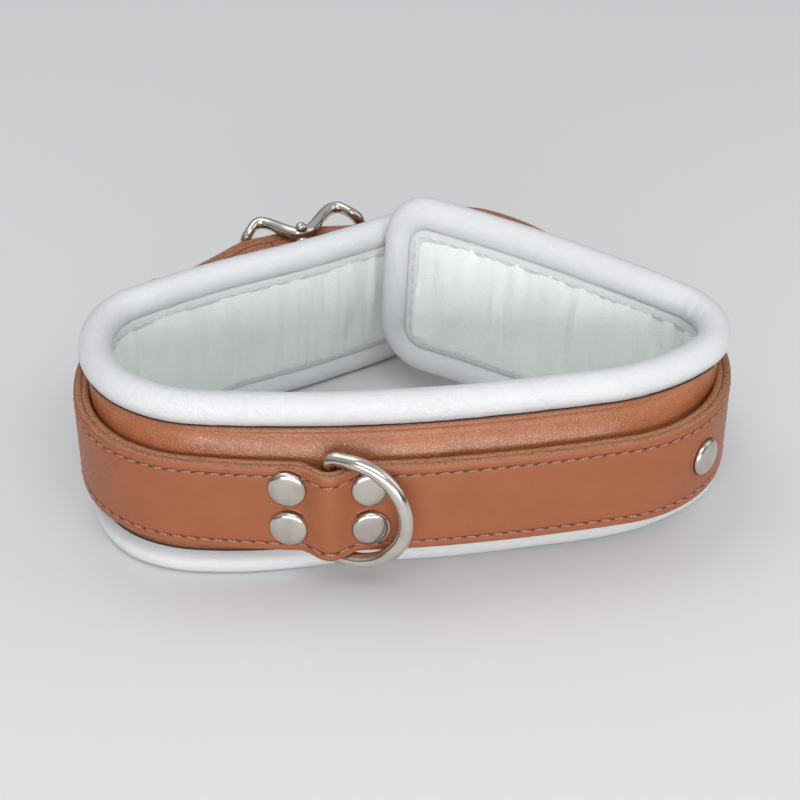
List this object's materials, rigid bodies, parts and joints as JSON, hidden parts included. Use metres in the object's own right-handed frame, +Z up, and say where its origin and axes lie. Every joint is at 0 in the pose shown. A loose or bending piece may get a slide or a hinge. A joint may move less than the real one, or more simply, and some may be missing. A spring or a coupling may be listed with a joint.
{
  "type": "padded buckle collar",
  "caption": "Padded leather neck collar with rolled pale binding, a riveted outer strap, a swinging D-shaped lead ring, a centre-bar buckle and a sliding keeper",
  "frame": {"origin": "centre of the bounding box in plan, at the surface the collar stands on", "axes": "+X runs along the longest side, with the lead ring's free end to +X; +Y points from the strap face with the lead ring towards the buckle; +Z is up"},
  "size_m": [0.1734, 0.1404, 0.0612],
  "materials": {
    "foam": "soft",
    "cover_leather": "glossy pebbled",
    "lining_leather": "smooth",
    "binding_leather": "smooth matt",
    "pale_thread": "matt",
    "strap_leather": "satin",
    "strap_thread": "matt",
    "polished_nickel": "polished",
    "satin_nickel": "satin"
  },
  "bodies": {
    "collar": {"foam_core": "foam", "outer_cover": "cover_leather", "inner_lining": "lining_leather", "edge_binding": "binding_leather", "binding_seam": "pale_thread", "strap_outer_layer": "strap_leather", "strap_backing": "strap_leather", "strap_seam_upper": "strap_thread", "strap_seam_lower": "strap_thread", "ring_rivet_caps": "satin_nickel", "ring_rivet_posts": "satin_nickel", "ring_rivet_washers": "satin_nickel", "side_rivet_caps": "satin_nickel", "side_rivet_posts": "satin_nickel", "side_rivet_washers": "satin_nickel", "buckle_frame": "polished_nickel", "centre_bar": "polished_nickel", "bar_heads": "polished_nickel", "buckle_fold": "strap_leather", "fold_seam": "strap_thread"},
    "ring": {"lead_ring": "polished_nickel"},
    "prong": {"buckle_prong": "polished_nickel"},
    "keeper": {"keeper_loop": "strap_leather", "keeper_staple": "satin_nickel"}
  },
  "joints": [
    {"name": "ring_swing", "type": "hinge", "parent": "collar", "child": "ring", "pos_m": [-0.01871, -0.06155, 0.025], "axis": [0, 0, -1], "range_deg": [0, 140]},
    {"name": "prong_swing", "type": "hinge", "parent": "collar", "child": "prong", "pos_m": [-0.03032, 0.04936, 0.028], "axis": [0, 0, 1], "range_deg": [0, 22]},
    {"name": "keeper_slide", "type": "slide", "parent": "collar", "child": "keeper", "axis": [-0.7129, -0.7013, 0], "range_m": [-0.004, 0.002]}
  ]
}
